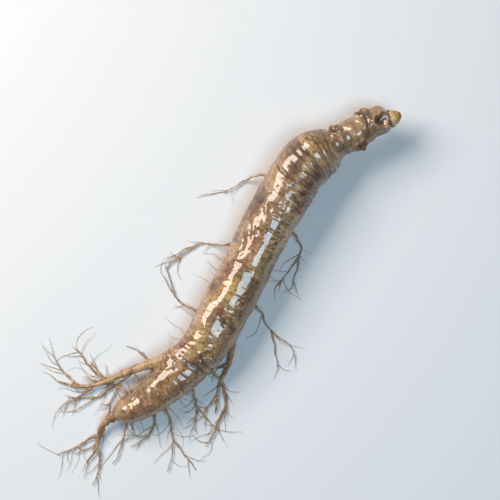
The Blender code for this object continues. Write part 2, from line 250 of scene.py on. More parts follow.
# The bud of next year's stem at the end of the neck.
BUD_CENTRE = (86.2, -3.3, 13.9)
BUD_RADIUS = 3.3
BUD_LENGTH = 4.6
BUD_TILT = math.radians(66)
BUD_TURN = math.radians(-24)
BUD_POINTEDNESS = 0.12
BUD_ROWS = 120
BUD_SIDES = 96
# The torn sheath round the bud's foot and its scales, outermost first: height of the edge's
# middle as a share of the bud's length, its lean, the side it leans to, how far it stands out.
BUD_SCALES = (
    (0.02, 0.10, 2.2, 0.085),
    (0.14, 0.34, 0.5, 0.055),
    (0.42, 0.34, 3.6, 0.045),
    (0.72, 0.20, -1.3, 0.035),
)
# How round a scale's edge is rather than pointed, how wide its step is and how much wider its mark.
EDGE_ROUNDNESS = 0.6
SCALE_EDGE_WIDTH = 0.022
EDGE_MARK_WIDTH = 1.3
SHEATH_TEARS = ((0.035, 7), (0.025, 13), (0.018, 23))
# Veins round the bud, their twist and their height.
TWISTED_VEINS = 31
STRAIGHT_VEINS = 47
VEIN_TWIST = 3
VEIN_HEIGHT = 0.007

# Thick side roots: points of the centre line, radius at the base and at the end.
LEGS = (
    (((-43, -8.5, 9.5), (-52, -5, 11.6), (-60.5, -1.8, 10.4), (-68.5, 2.6, 7.4),
      (-77, 6.8, 4.4), (-87, 11, 2.8), (-96, 18, 1.7), (-101, 27, 0.9)), 3.9, 0.7),
    (((-87, -5.4, 6), (-96, -2.2, 4.6), (-103.5, -2.6, 2.6), (-111, -7, 1.5),
      (-119, -8, 0.8)), 2.5, 0.5),
    (((-27, -9, 6.5), (-33, -18, 4.8), (-42, -24.5, 2.6), (-52, -28, 1.4),
      (-63, -35.5, 0.8)), 2.3, 0.5),
)
LEG_POINTS_PER_SPAN = 3
SIDE_ROOT_SEED = 31
LEG_SIDES = 40
LEG_FINE_SPAN = 14
LEG_FLARE = 0.28
LEG_SWELL = 0.025
LEG_TONE_STEP = 0.08
# Rings of the side roots: least and greatest gap, depth on the thickest, half width.
LEG_RINGS = (0.8, 3.4, 0.15, 0.30)
# Their ripples: share of the radius, shortest and longest wave, most lobes round, how many.
LEG_RIPPLES = (0.035, 0.9, 6, 3, 26)
# How far from their join a side root and the skin rise up each other and share a colour.
JOIN_REACH = 3.2
SEAM_WIDTH = 2.4
BODY_BALLS = 400
# Each thin root takes the skin's pattern this much further on.
PATTERN_SHIFT = 17

# How side roots and rootlets taper. The flare at the base fades over a share of the radius and
# a length. The end narrows to a share of its radius and rounds off over some radii.
TAPER_POWER = 0.7
FLARE_FADE = (0.9, 0.4)
TIP_SHARE = 0.45
TIP_ROUNDING = 2.5
TIP_LEAST = 0.25
# Their swells: how many, lengths. Small knobs on them: how many, place as a share of the
# length, height as a share of the radius, half width.
SWELLS = 6
SWELL_LENGTHS = (2, 9)
KNOBS = 3
KNOB_PLACES = (0.1, 0.95)
KNOB_HEIGHTS = (0.15, 0.5)
KNOB_WIDTHS = (0.4, 0.8)

# Rootlets on the body: place, degrees, length.
ROOTLET_SEED = 11
ROOTLETS = (
    (57, 100, 20),
    (72, -104, 25),
    (90, 102, 27),
    (110, -106, 30),
    (122, 104, 24),
    (142, -96, 34),
    (152, -110, 24),
    (158, 114, 16),
    (166, -92, 30),
    (171, -116, 18),
    (178, 98, 24),
    (182, -66, 20),
)
# Rootlets on a side root: which one, the share of its length, the side, length.
LEG_ROOTLETS = (
    (0, 0.46, 1, 24),
    (0, 0.60, 1, 26),
    (0, 0.66, -1, 18),
    (0, 0.78, 1, 22),
    (0, 0.86, -1, 16),
    (1, 0.42, 1, 22),
    (1, 0.60, -1, 20),
    (1, 0.78, 1, 16),
    (2, 0.50, -1, 22),
    (2, 0.66, 1, 18),
    (2, 0.82, -1, 14),
)
LENGTH_VARIATION = (0.9, 1.15)
ROOTLET_RADIUS = 0.62
ROOTLET_TIP_RADIUS = 0.34
ROOTLET_STEP = 3
# How deep a rootlet starts inside the body, and behind the middle of a side root.
ROOTLET_SUNK = 2.4
LEG_ROOTLET_SUNK = 0.3
ROOTLET_LEAN = (-0.3, 0, 0.25)
ROOTLET_FORWARD_SHARE = 0.8
# How a thin root crawls: its step, least steps, shortest fall, the share of its bend that it
# keeps at each step, the bend that is added, and how its bend and course are pulled to its aim.
Crawl = namedtuple("Crawl", "step least_steps fall steadiness bend bend_pull course_pull")
ROOTLET_CRAWL = Crawl(ROOTLET_STEP, 4, 7.5, 0.5, 0.24, 0, 0.13)
HAIR_CRAWL = Crawl(1, 5, 2.5, 0.82, 0.11, 0.012, 0)
# It comes down over at least this many times its height.
FALL_RUN = 1.1
BRANCHING_LENGTH = 23
BRANCH_RADIUS = 0.42
BRANCH_SHARE = 0.45
BRANCH_SPREAD = 0.55
BRANCH_FALL_STEPS = 3
FLOOR_GAP = 0.12
ROOTLET_SKIN_SEED = 32
ROOTLET_SIDES = 10
ROOTLET_FINE_SPAN = 8
ROOTLET_FLARE = 0.55
ROOTLET_SWELL = 0.05
ROOTLET_TONES = (0.2, 0.7)
# Their small bends: size, its share in each direction, lengths, how many, and the
# stretch over which they set in.
BEND_SIZE = 0.09
BEND_DIRECTIONS = (1, 1, 0.3)
BEND_LENGTHS = (5, 14)
BENDS = 4
BEND_FOOT = 6

# Hair-thin rootlets: how many, the share that grow on rootlets, radius, length, the share of
# it that is kept, height over the floor, first bend.
HAIR_SEED = 41
HAIRS = 190
HAIRS_ON_ROOTLETS = 0.8
HAIR_RADIUS = (0.08, 0.19)
HAIR_LENGTH = (5, 18.5)
HAIR_KEPT = (0.5, 1)
HAIR_LIFT = (0.03, 0.4)
HAIR_FIRST_BEND = (-0.08, 0.08)
HAIR_TAPER = 0.75
HAIR_TAPER_POWER = 1.5
HAIR_TONES = (0.3, 1)
HAIR_KNOBS = 1
HAIR_SIDES = 6
HAIR_FINE_SPAN = 2
# Those on rootlets: points of a side root and of any stem that stay bare, spread.
BARE_LEG_POINTS = 6
BARE_POINTS = 2
HAIR_SPREAD = (0.25, 0.9)
# Those on the body: start from the tail tip and stretch, how they crowd towards the tail,
# angles from the top, spread, how deep they start.
HAIRY_START = 4
HAIRY_BODY = 100
HAIR_CROWDING = 1.6
HAIR_ANGLES = (88, 128)
BODY_HAIR_SPREAD = 0.5
HAIR_SUNK = 0.5

# The photograph looks straight down. +X of the root runs up to the right in it.
ROLL = math.radians(47.2)
RIGHT = Vector((math.cos(ROLL), -math.sin(ROLL), 0))
TOP = Vector((math.sin(ROLL), math.cos(ROLL), 0))
# The picture's middle from the origin, its width on the floor and the camera's height, in metres.
PICTURE_MIDDLE = RIGHT * -0.0013 + TOP * 0.0031
PICTURE_WIDTH = 0.225
CAMERA_HEIGHT = 0.6

# Soft lights: place in the picture's directions (right, top, height), size along the root and
# across it in metres, power in watts, colour.
WARM_LIGHT = ((-0.50, 0.36, 0.52), (0.58, 0.40), 7.6, (1, 0.90, 0.805))
COOL_LIGHT = ((0.24, -0.20, 1), (0.38, 0.48), 5, (0.60, 0.83, 1))
ROOM_STRENGTH = 0.11
FLOOR_SIZE = 4
FLOOR_DROP = 0.0001


def linear(red, green, blue):
    """A colour given in 0 to 255, as shaders take it."""
    shares = (channel / 255 for channel in (red, green, blue))
    return tuple(s / 12.92 if s <= 0.04045 else ((s + 0.055) / 1.055) ** 2.4 for s in shares) + (1,)


TAN = linear(193, 159, 117)
BROWN = linear(148, 106, 67)
DARK_BROWN = linear(86, 55, 36)
OCHRE = linear(188, 151, 87)
RUST = linear(142, 86, 48)
OLIVE = linear(128, 101, 64)
UMBER = linear(150, 108, 72)
SOIL = linear(60, 43, 33)
PALE = linear(208, 181, 144)
BUD_GOLD = linear(188, 148, 84)
BUD_CREAM = linear(208, 184, 136)
BUD_BROWN = linear(112, 72, 38)
ROOM_COLOUR = linear(226, 232, 240)
FLOOR_COLOUR = linear(226, 227, 229)


def arc_lengths(path):
    """Distance along a path at each of its points."""
    steps = np.linalg.norm(np.diff(path, axis=0), axis=1)
    return np.concatenate(((0,), np.cumsum(steps)))


KNOTS = arc_lengths(STATIONS[:, :3])
LENGTH = KNOTS[-1]


def smooth_values(knots, values, at):
    """Values on the smooth curve through the values at the knots."""
    last = len(knots) - 1
    low, high = np.r_[0, :last], np.r_[1 : last + 1, last]
    slopes = ((values[high] - values[low]).T / (knots[high] - knots[low])).T
    i = np.clip(np.searchsorted(knots, at, side="right") - 1, 0, last - 1)
    span = knots[i + 1] - knots[i]
    t = (at - knots[i]) / span
    if values.ndim > 1:
        t, span = t[..., None], span[..., None]
    return (
        values[i] * (1 + 2 * t) * (1 - t) ** 2
        + slopes[i] * span * t * (1 - t) ** 2
        + values[i + 1] * t * t * (3 - 2 * t)
        + slopes[i + 1] * span * t * t * (t - 1)
    )


def smooth_path(points, per_span):
    """Points on the smooth curve through the given ones."""
    points = np.asarray(points, dtype=float)
    knots = arc_lengths(points)
    places = np.linspace(0, knots[-1], per_span * (len(points) - 1) + 1)
    return smooth_values(knots, points, places)


def centre(along):
    """Points of the centre line."""
    return smooth_values(KNOTS, STATIONS[:, :3], along)


def plain_radius(along):
    """The main root's radius without relief."""
    return smooth_values(KNOTS, STATIONS[:, 3], along)


def unit(vectors):
    """The vectors at length 1."""
    return vectors / np.linalg.norm(vectors, axis=-1, keepdims=True)


def section_axes(along):
    """The root's own direction, its side towards +Y and its upper side."""
    forward = unit(centre(along + AXIS_STEP) - centre(along - AXIS_STEP))
    side = unit(np.cross(UP, forward))
    return forward, side, np.cross(forward, side)


def end_shares(along):
    """Distance from each end as a share of its rounding."""
    return along / TAIL_ROUNDING, (LENGTH - along) / NECK_ROUNDING


def end_rounding(along):
    """Share of the radius that is left as each end rounds off."""
    return math.prod(np.sqrt(1 - np.clip(1 - share, 0, 1) ** 2) for share in end_shares(along))


def bell(distance, half_width, power=2):
    """A hump of height 1 that falls away past its half width, pointed at a low power."""
    return np.exp(-((np.abs(distance) / half_width) ** power))


def soft_step(distance, width, height=1):
    """A step down from a height to 0 as the distance rises past 0."""
    return height / (1 + np.exp(distance / width))


def turn_between(a, b):
    """Turn from one angle to another, in radians, the shorter way round."""
    return (a - b + math.pi) % math.tau - math.pi


def angles_round(sides):
    """Angles of a ring's sides, as a row."""
    return (math.tau * np.arange(sides) / sides)[None]


def draw_grooves():
    """Each groove's place, depth, deepest side and reach round from it."""
    rng = random.Random(GROOVE_SEED)
    grooves = []
    for row in (BODY_WRINKLES, BEND_CREASES, SHOULDER_RINGS, NECK_RINGS):
        at, last, gap_low, gap_high, depth, *reaches = row
        while at < last:
            reach = rng.uniform(*reaches)
            grooves.append((at, depth * rng.uniform(*GROOVE_DEPTHS), rng.uniform(*GROOVE_SIDES), reach))
            at += rng.uniform(gap_low, gap_high)
    return sorted(grooves)


def draw_fine_grooves(rng, at, last, gap_low, gap_high, depth):
    """Fine grooves between two places, each deepest on a side of its own."""
    grooves = []
    while at < last:
        side = rng.uniform(-math.pi, math.pi)
        grooves.append((at, depth * rng.uniform(*FINE_DEPTHS), side, rng.uniform(*FINE_REACH)))
        at += rng.uniform(gap_low, gap_high)
    return grooves


GROOVES = draw_grooves()


def groove_relief(ring, angle, grooves, half_width):
    """Relief of the grooves at each ring and angle."""
    relief = np.zeros(np.broadcast(ring, angle).shape)
    for at, depth, side, reach in grooves:
        fade = soft_step(np.abs(turn_between(angle, side)) - reach, GROOVE_FADE)
        sway = GROOVE_SWAY * np.sin(GROOVE_SWAYS * angle + at)
        relief = relief - depth * fade * bell(ring - at - sway, half_width, CREASE_POWER)
    return relief


# Places of the skin: their ring, distance along the centre line, angle and plain radius there.
Places = namedtuple("Places", "ring along angle radius")


def find_places(ring, angle):
    """Places on rings that stray along the root, calmly near its ends."""
    stray = sum(
        height * np.sin(waves * angle + turn * ring + start) for height, waves, turn, start in RING_WAVES
    )
    calm = np.minimum(1, np.minimum(ring, LENGTH - ring) / CALM_END)
    along = ring + calm * stray
    return Places(ring, along, angle, plain_radius(along))


def offsets(places, from_neck, degrees):
    """How far places lie onward of a point of the skin and round from it."""
    across = places.radius * turn_between(places.angle, math.radians(degrees))
    return places.along - (LENGTH - from_neck), across


def uneven_share(waves, bearing, start):
    """Sum of a few waves round a scar."""
    return sum(share * np.sin(count * bearing + (count + 1) * start) for share, count in waves)


def scar_bearing(scar, places):
    """Distance of places from a scar's middle as a share of its radius, and their bearing."""
    from_neck, degrees, size = scar[:3]
    onward, across = offsets(places, from_neck, degrees)
    bearing = np.arctan2(across, onward)
    uneven = 1 + uneven_share(SCAR_UNEVENNESS, bearing, from_neck)
    return np.hypot(onward, across) / (size * uneven), bearing


def scar_relief(places):
    """Raised rims of the scars and the shallow pits of those on the body."""
    relief = 0
    for scar in STEM_SCARS + BODY_SCARS:
        reach, bearing = scar_bearing(scar, places)
        rim = scar[4] * (1 + uneven_share(RIM_UNEVENNESS, bearing, scar[0]))
        relief = relief + rim * bell(reach - 1, RIM_WIDTH)
        if scar in BODY_SCARS:
            relief = relief - scar[3] * bell(reach, PIT_WIDTH)
    return relief


def swelling_relief(places):
    """Knuckles of the neck and broad swellings of the body."""
    relief = 0
    for from_neck, degrees, width, height in NECK_KNUCKLES:
        lean = 0.5 + 0.5 * np.cos(places.angle - math.radians(degrees))
        relief = relief + height * lean * bell(places.along - (LENGTH - from_neck), width)
    for from_neck, degrees, spread, height in SWELLINGS:
        relief = relief + height * bell(np.hypot(*offsets(places, from_neck, degrees)), spread)
    return relief


def form_radius(places):
    """Distance of the skin's plain form from the centre line before its ends round off."""
    ring, along, angle, radius = places
    oval = 1 + sum(share * np.cos(lobes * angle + turn * along) for share, lobes, turn in SECTION_LOBES)
    relief = groove_relief(ring, angle, GROOVES, GROOVE_HALF_WIDTH)
    return radius * oval + (relief + scar_relief(places) + swelling_relief(places))


def to_space(along, angle, distance):
    """Points at a distance from the centre line, flattened where the belly rests."""
    _, side, up = section_axes(along)
    outward = np.cos(angle)[..., None] * up + np.sin(angle)[..., None] * side
    points = centre(along) + distance[..., None] * outward
    points[..., 2] = np.maximum(points[..., 2], 0)
    return points


def form_point(ring, degrees):
    """One point of the skin's plain form."""
    places = find_places(np.array([ring]), np.array([math.radians(degrees)]))
    return to_space(places.along, places.angle, form_radius(places) * end_rounding(places.along))[0]


def ripples(rng, coordinates, height, short, long, roundness):
    """A smooth random relief, the sum of many small waves."""
    total = np.zeros(coordinates.shape[:-1])
    for _ in range(RIPPLE_COUNT):
        direction = unit(np.array([rng.gauss(0, 1) for _ in range(3)])) * (1, roundness, roundness)
        wave = math.tau / rng.uniform(short, long)
        total += np.cos(coordinates @ (direction * wave) + rng.uniform(0, math.tau))
    return height * total * math.sqrt(2 / RIPPLE_COUNT)


def spot_distance(ring, angle, radius, at, turn, long, wide):
    """Distance from a spot's middle as a share of its half sizes."""
    return np.hypot((ring - at) / long, radius * turn_between(angle, turn) / wide)


def patch_hump(patch, ring, angle, radius):
    """A hump of height 1 over a patch given by its place, degrees and half sizes."""
    from_neck, degrees, long, wide = patch[:4]
    at = LENGTH - from_neck
    return bell(spot_distance(ring, angle, radius, at, math.radians(degrees), long, wide), 1)


def patch_mark(patches, places):
    """Strength of the patches of one colour at each place."""
    ring, _, angle, radius = places
    return np.maximum.reduce([patch_hump(patch, ring, angle, radius) for patch in patches])


def spot_relief(rng, places, spots):
    """Relief and mark of raised spots, each with a slit or pit in its middle."""
    relief, mark = np.zeros((2, *places.radius.shape))
    for _ in range(spots.count):
        at = rng.uniform(spots.from_tail, LENGTH - spots.from_neck)
        turn = rng.uniform(-math.pi, math.pi)
        long = rng.uniform(*spots.long)
        wide = rng.uniform(*spots.wide) if spots.wide else long
        height = spots.height if spots.wide else spots.height * long
        near = np.abs(places.ring[:, 0] - at) < SPOT_EDGE * long
        reach = spot_distance(places.ring[near], places.angle, places.radius[near], at, turn, long, wide)
        relief[near] += height * (bell(reach, 1) - spots.pit * bell(reach, spots.pit_width))
        mark[near] = np.maximum(mark[near], bell(reach, spots.mark_width))
    return relief, mark


def soft_least(first, second, blend):
    """The lesser of two values, with the corner between them rounded over."""
    share = np.clip(0.5 + 0.5 * (second - first) / blend, 0, 1)
    return second + (first - second) * share - blend * share * (1 - share)


def cup_heights(places):
    """Height of the stem scars' cups over the skin, far above it outside them, and floor mark."""
    height = np.full(places.radius.shape, FAR_AWAY)
    floor = np.zeros(height.shape)
    for scar in STEM_SCARS:
        size, depth, rim = scar[2:]
        ball = (size * size + depth * depth) / (2 * depth)
        reach, bearing = scar_bearing(scar, places)
        distance = size * reach
        bowl = rim - depth + ball - np.sqrt(np.maximum(0, ball**2 - distance**2))
        fibres = FIBRE_HEIGHT * np.cos(SCAR_FIBRES * bearing + FIBRE_TURN * reach) * np.minimum(1, reach)
        height = np.where(distance < BALL_SHARE * ball, np.minimum(height, bowl + fibres), height)
        floor = np.maximum(floor, bell(reach, *CUP_FLOOR))
    return height, floor


def ring_mark(scars, places, place, width):
    """Mark of a ring round each scar, its place and width shares of the scar's radius."""
    return np.maximum.reduce([bell(scar_bearing(scar, places)[0] - place, width) for scar in scars])


def add_mesh(name, points, faces, marks):
    """A new mesh object from points in mm and faces, with marks as point attributes."""
    mesh = bpy.data.meshes.new(name)
    mesh.from_pydata((np.asarray(points) * MM).tolist(), [], faces)
    mesh.validate()
    for mark, values in marks.items():
        values = np.asarray(values, dtype=np.float32)
        kind, field = ("FLOAT_VECTOR", "vector") if values.ndim == 2 else ("FLOAT", "value")
        mesh.attributes.new(mark, kind, "POINT").data.foreach_set(field, values.ravel())
    mesh.shade_smooth()
    made = bpy.data.objects.new(name, mesh)
    bpy.context.scene.collection.objects.link(made)
    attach(made, "root")
    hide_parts(NODE)
    return made


def with_ends(lattice, start=0, end=0):
    """A lattice's points or values, row by row, and then those of its two end points."""
    return np.concatenate((lattice.reshape(-1, *lattice.shape[2:]), (start, end)))


def lattice_faces(rows, sides, base=0):
    """Quads of a tube of rows, and fans on its two end points."""
    these = base + np.arange(rows * sides).reshape(rows, sides)
    others = np.roll(these, -1, axis=1)
    quads = np.stack((these[:-1], others[:-1], others[1:], these[1:]), axis=-1)
    start = np.full(sides, base + rows * sides)
    fans = np.stack((others[0], these[0], start, these[-1], others[-1], start + 1), axis=-1)
    return quads.reshape(-1, 4).tolist() + fans.reshape(-1, 3).tolist()


def skin_rows():
    """Places of the skin's rows, closer together on the neck and where the ends round off."""
    places = np.linspace(0, LENGTH, SAMPLES_PER_ROW * SKIN_ROWS)
    middles = 0.5 * (places[1:] + places[:-1])
    crowding = 1 + soft_step(NECK_FOOT - middles, NECK_BLEND, NECK_CROWDING)
    for share in end_shares(middles):
        crowding = crowding / np.minimum(1, np.sqrt(share))
    count = np.concatenate(((0,), np.cumsum(crowding)))
    return np.interp(np.linspace(0, count[-1], SKIN_ROWS + 2)[1:-1], count, places)


def fine_relief(rng, straight, places, in_neck):
    """Ripples, fine rings and wrinkles of the skin."""
    relief = sum(ripples(rng, straight, *row) for row in RIPPLES)
    for row in NECK_RIPPLES:
        relief += in_neck * ripples(rng, straight, *row)
    for *row, half_width in FINE_RINGS:
        relief += groove_relief(places.ring, places.angle, draw_fine_grooves(rng, *row), half_width)
    return relief + patch_mark(WRINKLED_PATCHES, places) * ripples(rng, straight, *WRINKLES)


def gap_to(points, middles, radii):
    """Distance of points from the nearest of a row of balls."""
    gap = np.full(points.shape[:-1], FAR_AWAY)
    for middle, radius in zip(middles, radii):
        gap = np.minimum(gap, np.linalg.norm(points - middle, axis=-1) - radius)
    return gap


def gap_to_body(points):
    """Distance of points from the plain main root."""
    along = np.linspace(0, LENGTH, BODY_BALLS)
    return gap_to(points, centre(along), plain_radius(along) * end_rounding(along))


def fillet(gap):
    """How far a surface rises towards another that is this far away."""
    return np.maximum(JOIN_REACH - np.abs(gap), 0) ** 2 / (4 * JOIN_REACH)


def build_skin(leg_forms):
    """The main root and its neck."""
    places = find_places(skin_rows()[:, None], angles_round(SKIN_SIDES))
    ring, along, angle, radius = places
    straight = np.stack((along, radius * np.cos(angle), radius * np.sin(angle)), axis=-1)
    in_neck = soft_step(NECK_FOOT - along, NECK_BLEND)
    relief = fine_relief(random.Random(FINE_SEED), straight, places, in_neck)
    rng = random.Random(SPOT_SEED)
    lenticels, lenticel_mark = spot_relief(rng, places, LENTICELS)
    stubs, stub_mark = spot_relief(rng, places, STUBS)
    relief += lenticels + stubs
    cups, cup_mark = cup_heights(places)
    flats = sum(flat[4] * patch_hump(flat, along, angle, radius) for flat in FLATS)
    form = form_radius(places) - flats + relief
    cups = radius + cups + CUP_RELIEF * relief
    distance = soft_least(form, cups, CUP_BLEND) * end_rounding(along)
    plain = to_space(along, angle, distance)
    gap = np.minimum.reduce([gap_to(plain, path, radii) for path, _, radii in leg_forms])
    # Painted shade and soil darken the grooves and the hollows of the fine relief.
    shaded_grooves = groove_relief(ring, angle, GROOVES, SHADED_GROOVE_WIDTH * GROOVE_HALF_WIDTH)
    marks = {
        "hollow_shade_and_soil": -shaded_grooves - HOLLOW_SHADE * np.minimum(relief, 0),
        # Painted highlight on the raised relief.
        "ridge_highlight": np.maximum(relief, 0),
        "neck": in_neck,
        "lenticel": lenticel_mark,
        "stub": stub_mark,
        "cup": cup_mark,
        "rim": ring_mark(STEM_SCARS, places, *CUP_RIM),
        "outline": ring_mark(BODY_SCARS, places, *SCAR_OUTLINE),
        "rust": patch_mark(RUST_PATCHES, places),
        "ochre": patch_mark(OCHRE_PATCHES, places),
        "umber_and_shade": patch_mark(UMBER_AND_SHADE_PATCHES, places),
        "seam": bell(gap, SEAM_WIDTH),
    }
    marks = {name: with_ends(mark) for name, mark in marks.items()}
    marks["straight"] = with_ends(straight, (0, 0, 0), (LENGTH, 0, 0))
    points = with_ends(to_space(along, angle, distance + fillet(gap)), *centre(np.array((0, LENGTH))))
    return add_mesh("skin", points, lattice_faces(SKIN_ROWS, SKIN_SIDES), marks)


def course_of(direction):
    """The course in radians of a direction, seen from above."""
    return math.atan2(direction[1], direction[0])


def crawling_path(rng, start, course, aim, bend, length, rest, crawl):
    """Path of a thin root, which comes down to the surface in one curve and wanders along it."""
    path = [start]
    fall = max(crawl.fall, FALL_RUN * start[2])
    for k in range(1, max(crawl.least_steps, round(length / crawl.step)) + 1):
        pull = math.sin(aim - course)
        bend = crawl.steadiness * bend + rng.uniform(-crawl.bend, crawl.bend) + crawl.bend_pull * pull
        course += bend + crawl.course_pull * pull
        point = path[-1] + crawl.step * np.array((math.cos(course), math.sin(course), 0))
        fallen = min(1, k * crawl.step / fall)
        point[2] = rest + (start[2] - rest) * (1 - fallen) ** 2 * (1 + 2 * fallen)
        path.append(point)
    return path


def branch_path(stem, rng):
    """Path of a branch that leaves a rootlet half way along it."""
    middle = len(stem) // 2
    fork = stem[middle]
    forward = unit(fork - stem[middle - 1])
    away = np.cross(UP, forward) * rng.choice((-1, 1))
    rest = BRANCH_RADIUS + FLOOR_GAP
    path = []
    for k in range(1 + round(BRANCH_SHARE * len(stem))):
        point = fork + ROOTLET_STEP * k * (forward + BRANCH_SPREAD * away)
        point[2] = rest + (fork[2] - rest) * max(0, 1 - k / BRANCH_FALL_STEPS)
        path.append(point)
    return path


def rootlet_starts(leg_paths):
    """Where each rootlet starts, its heading, aim and length, and how deep it sits."""
    starts = []
    for from_neck, degrees, length in ROOTLETS:
        ring = LENGTH - from_neck
        angle = math.radians(degrees)
        _, side, up = section_axes(ring)
        heading = math.cos(angle) * up + math.sin(angle) * side + ROOTLET_LEAN
        starts.append((form_point(ring, degrees), unit(heading), math.pi, length, ROOTLET_SUNK))
    for leg, share, turn, length in LEG_ROOTLETS:
        path = leg_paths[leg]
        k = round(share * (len(path) - 1))
        forward = unit(path[k] - path[k - 1])
        heading = np.cross(UP, forward) * turn + ROOTLET_FORWARD_SHARE * forward
        starts.append((path[k], unit(heading), course_of(forward), length, LEG_ROOTLET_SUNK))
    return starts


def rootlet_paths(leg_paths):
    """Every rootlet and branch: its path and the radius at its base."""
    rng = random.Random(ROOTLET_SEED)
    rest = ROOTLET_RADIUS + FLOOR_GAP
    paths = []
    for start, heading, aim, length, sunk in rootlet_starts(leg_paths):
        size = length * rng.uniform(*LENGTH_VARIATION)
        path = crawling_path(rng, start, course_of(heading), aim, 0, size, rest, ROOTLET_CRAWL)
        path.insert(0, start - heading * sunk)
        paths.append((path, ROOTLET_RADIUS))
        if length > BRANCHING_LENGTH:
            paths.append((branch_path(path, rng), BRANCH_RADIUS))
    return paths


def tube_frames(path):
    """Two directions across a path at each of its points, which don't twist."""
    forward = unit(np.gradient(path, axis=0))
    first = unit(np.cross(forward[0], UP))
    firsts = [first]
    for direction in forward[1:]:
        first = unit(first - direction * (first @ direction))
        firsts.append(first)
    firsts = np.array(firsts)
    return firsts, np.cross(forward, firsts)


def points_round(path, distance):
    """Points round a path, at a distance from it for each row and side."""
    first, second = tube_frames(path)
    angle = angles_round(distance.shape[1])[..., None]
    across = np.cos(angle) * first[:, None] + np.sin(angle) * second[:, None]
    return path[:, None] + distance[..., None] * across


def make_tube(path, distances, radii, sides, tone, relief=0):
    """A tube round a path, with relief: its rows, its sides, its points and their marks."""
    relief = np.broadcast_to(relief, (len(path), sides))
    points = with_ends(points_round(path, radii[:, None] + relief), path[0], path[-1])
    points[:, 2] = np.maximum(points[:, 2], 0)
    along = with_ends(np.broadcast_to(distances[:, None], relief.shape), 0, distances[-1])
    marks = {
        "straight": np.column_stack((along, points[:, 1:])),
        # Painted shade and soil in the tube's hollows.
        "hollow_shade_and_soil": with_ends(np.maximum(0, -relief)),
        "tone": np.full(len(points), tone),
    }
    return len(path), sides, points, marks


def merge_tubes(name, tubes):
    """One mesh from several tubes, each with its own place in the skin's pattern."""
    faces = []
    base = 0
    for k, (rows, sides, points, marks) in enumerate(tubes):
        faces.extend(lattice_faces(rows, sides, base))
        marks["straight"][:, 0] += PATTERN_SHIFT * k
        base += len(points)
    points = np.vstack([tube[2] for tube in tubes])
    marks = {mark: np.concatenate([tube[3][mark] for tube in tubes]) for mark in marks}
    marks["seam"] = bell(gap_to_body(points), SEAM_WIDTH)
    return add_mesh(name, points, faces, marks)


def root_radii(distances, base, tip, skin_at, flare):
    """Radius along a side root: flared where it leaves the skin, tapering to a rounded end."""
    tip = TIP_SHARE * tip
    radii = base + (tip - base) * (distances / distances[-1]) ** TAPER_POWER
    share, extra = FLARE_FADE
    radii = radii * (1 + flare * bell(distances - skin_at, share * base + extra, 1))
    blunt = np.clip((distances[-1] - distances) / (TIP_ROUNDING * tip), 0, 1)
    return radii * (TIP_LEAST + (1 - TIP_LEAST) * np.sqrt(blunt))


def knobbly(rng, distances, radii, amount, knobs):
    """Radii with an uneven swell and a few small knobs."""
    swell = sum(
        math.cos(rng.uniform(0, math.tau)) * np.sin(distances * math.tau / rng.uniform(*SWELL_LENGTHS) + k)
        for k in range(SWELLS)
    )
    out = radii * (1 + amount * swell)
    for _ in range(knobs):
        at = rng.uniform(*KNOB_PLACES) * distances[-1]
        out = out + radii * rng.uniform(*KNOB_HEIGHTS) * bell(distances - at, rng.uniform(*KNOB_WIDTHS))
    return out


def wobble(rng, path, distances):
    """The path with small random bends from side to side."""
    first, _ = tube_frames(path)
    bend = sum(
        np.sin(distances * math.tau / rng.uniform(*BEND_LENGTHS) + rng.uniform(0, math.tau))
        for _ in range(BENDS)
    )
    fade = np.clip(distances / BEND_FOOT, 0, 1)
    return path + first * BEND_DIRECTIONS * (BEND_SIZE * bend * fade)[:, None]


def leg_relief(rng, distances, radii):
    """Rings and ripples of a side root."""
    rows = distances[:, None]
    angle = angles_round(LEG_SIDES)
    *spacing_and_depth, half_width = LEG_RINGS
    grooves = draw_fine_grooves(rng, 0, distances[-1], *spacing_and_depth)
    rings = groove_relief(rows, angle, grooves, half_width) / radii.max()
    share, short, long, lobes, count = LEG_RIPPLES
    waves = sum(
        np.sin(rows * math.tau / rng.uniform(short, long) + rng.randint(1, lobes) * angle + k)
        for k in range(count)
    )
    return radii[:, None] * (rings + share * waves / math.sqrt(count / 2))


def plain_legs(leg_paths):
    """Each side root's fine path, the distance along it and its radius without relief."""
    forms = []
    for (_, base, tip), plain in zip(LEGS, leg_paths):
        path = smooth_path(plain, LEG_FINE_SPAN)
        distances = arc_lengths(path)
        skin_at = distances[np.argmax(gap_to_body(path) > 0)]
        forms.append((path, distances, root_radii(distances, base, tip, skin_at, LEG_FLARE)))
    return forms


def build_side_roots(leg_forms):
    """The thick side roots, wrinkled across."""
    rng = random.Random(SIDE_ROOT_SEED)
    tubes = []
    for k, (path, distances, radii) in enumerate(leg_forms):
        radii = knobbly(rng, distances, radii, LEG_SWELL, KNOBS)
        relief = leg_relief(rng, distances, radii)
        relief = relief + fillet(gap_to_body(points_round(path, radii[:, None] + relief)))
        tubes.append(make_tube(path, distances, radii, LEG_SIDES, LEG_TONE_STEP * k, relief))
    return merge_tubes("side_roots", tubes)


def build_rootlets(paths):
    """The rootlets of the solid root, smoother and unevenly thick."""
    rng = random.Random(ROOTLET_SKIN_SEED)
    tubes = []
    for plain, base in paths:
        path = smooth_path(plain, ROOTLET_FINE_SPAN)
        distances = arc_lengths(path)
        path = wobble(rng, path, distances)
        radii = root_radii(distances, base, ROOTLET_TIP_RADIUS, ROOTLET_SUNK, ROOTLET_FLARE)
        radii = knobbly(rng, distances, radii, ROOTLET_SWELL, KNOBS)
        tubes.append(make_tube(path, distances, radii, ROOTLET_SIDES, rng.uniform(*ROOTLET_TONES)))
    return merge_tubes("rootlets", tubes)


